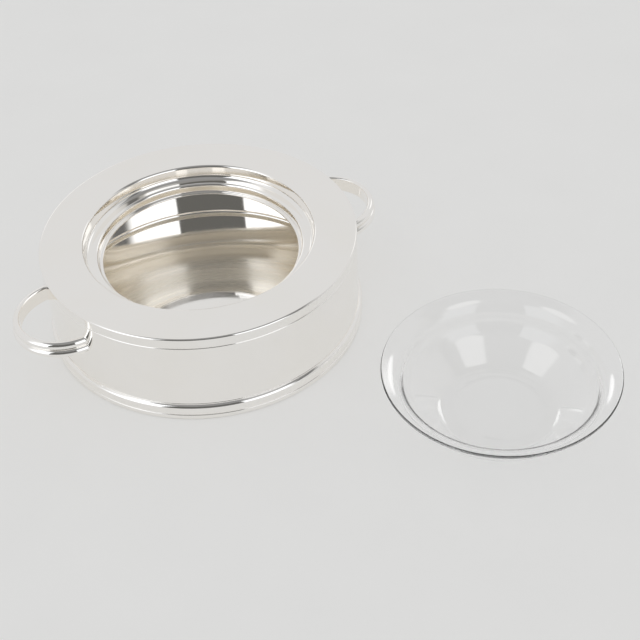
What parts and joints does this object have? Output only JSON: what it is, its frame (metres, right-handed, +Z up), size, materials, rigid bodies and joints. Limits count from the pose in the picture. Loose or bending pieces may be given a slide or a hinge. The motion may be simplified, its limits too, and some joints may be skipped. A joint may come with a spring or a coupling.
{
  "type": "caviar server",
  "caption": "Round silver-plated drum that holds crushed ice, with a stepped collar, side loop handles and a loose glass bowl that drops into it for serving caviar.",
  "frame": {"origin": "centre of the server's foot, on the table", "axes": "+Z up along the drum's axis; +X through the right-hand loop handle; the glass liner stands beside the drum towards -Y"},
  "size_m": [0.3078, 0.3677, 0.0655],
  "materials": {
    "silver_plate": "silver plate, mirror polished",
    "silver_moulding": "silver plate, mirror polished reeds and beads",
    "clear_glass": "clear, fire polished"
  },
  "bodies": {
    "root": {"drum_pan": "silver_plate", "top_collar": "silver_plate", "foot_moulding": "silver_moulding", "handle_right": "silver_moulding", "handle_left": "silver_moulding", "glass_liner": "clear_glass"}
  },
  "joints": []
}
